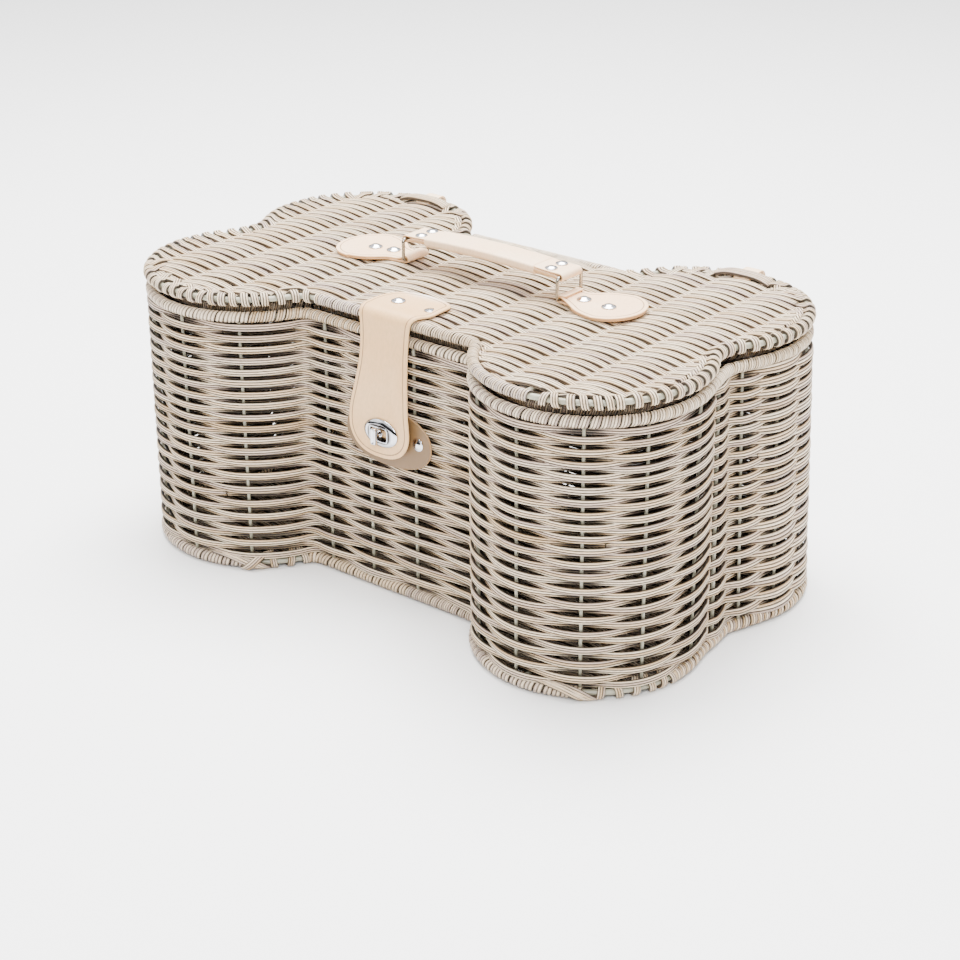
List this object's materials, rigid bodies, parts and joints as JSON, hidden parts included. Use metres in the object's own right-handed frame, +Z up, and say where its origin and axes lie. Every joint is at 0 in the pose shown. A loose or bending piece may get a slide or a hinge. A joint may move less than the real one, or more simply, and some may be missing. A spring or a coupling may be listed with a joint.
{
  "type": "woven storage basket",
  "caption": "Bone-shaped woven storage basket with a hinged woven lid, a leather handle on wire loops, and a leather closing strap with a turn lock.",
  "frame": {"origin": "under the middle of the closed basket's bounding box, on the plane it stands on", "axes": "+X along the basket's length, towards the lobe pair at the viewer's right when the lock faces the viewer; -Y the side with the closing strap; +Z up"},
  "size_m": [0.5718, 0.3502, 0.2894],
  "materials": {
    "rattan": "satin ridged strand",
    "rattan_lid": "satin ridged strand",
    "coated_wire": "smooth coating",
    "leather": "fine pebble grain",
    "chrome": "polished"
  },
  "bodies": {
    "basket": {"body_frame": "coated_wire", "woven_wall": "rattan", "woven_base": "rattan", "base_rim_wrap": "rattan", "top_rim_wrap": "rattan", "hinge_strap_left": "leather", "hinge_strap_right": "leather", "hinge_body_rivet_left": "chrome", "hinge_body_rivet_right": "chrome", "lock_patch": "leather", "patch_rivet_1": "chrome", "patch_rivet_2": "chrome", "lock_base": "chrome"},
    "lid": {"lid_frame": "coated_wire", "woven_lid": "rattan_lid", "lid_rim_wrap": "rattan_lid", "lid_lip_ring": "rattan", "closure_rivet_1": "chrome", "closure_rivet_2": "chrome", "handle_tab_left": "leather", "handle_tab_right": "leather", "tab_left_rivet_1": "chrome", "tab_left_rivet_2": "chrome", "tab_right_rivet_1": "chrome", "tab_right_rivet_2": "chrome", "hinge_lid_rivet_left": "chrome", "hinge_lid_rivet_right": "chrome"},
    "strap": {"closure_strap": "leather", "lock_back_plate": "chrome", "lock_face_plate": "chrome"},
    "knob": {"lock_knob": "chrome"},
    "left_loop": {"handle_loop_left": "chrome"},
    "handle": {"handle_strap": "leather", "handle_rivet_1": "chrome", "handle_rivet_2": "chrome", "handle_rivet_3": "chrome", "handle_rivet_4": "chrome"},
    "right_loop": {"handle_loop_right": "chrome"}
  },
  "joints": [
    {"name": "lid_hinge", "type": "hinge", "parent": "basket", "child": "lid", "pos_m": [0, 0.17252, 0.2471], "axis": [-1, 0, 0], "range_deg": [0, 180], "deforming": ["hinge_strap_left", "hinge_strap_right", "closure_strap", "lock_back_plate", "lock_face_plate"]},
    {"name": "strap_swing", "type": "hinge", "parent": "lid", "child": "strap", "pos_m": [0, -0.11399, 0.256], "axis": [-1, 0, 0], "range_deg": [0, 105], "deforming": ["closure_strap", "lock_back_plate", "lock_face_plate"]},
    {"name": "knob_turn", "type": "hinge", "parent": "basket", "child": "knob", "pos_m": [0.003, -0.12599, 0.158], "axis": [0, -1, 0], "range_deg": [0, 90]},
    {"name": "left_loop_pivot", "type": "hinge", "parent": "lid", "child": "left_loop", "pos_m": [-0.072, 0.01102, 0.2641], "axis": [0, 1, 0], "range_deg": [-60, 60]},
    {"name": "handle_pivot", "type": "hinge", "parent": "left_loop", "child": "handle", "pos_m": [-0.072, 0.01102, 0.2831], "axis": [0, 1, 0], "range_deg": [-60, 60]},
    {"name": "right_loop_pivot", "type": "hinge", "parent": "lid", "child": "right_loop", "pos_m": [0.098, 0.01102, 0.2641], "axis": [0, 1, 0], "range_deg": [-60, 60]}
  ],
  "couplings": [
    {"joint": "handle_pivot", "follows": "left_loop_pivot", "ratio": -1},
    {"joint": "right_loop_pivot", "follows": "left_loop_pivot", "ratio": 1}
  ]
}
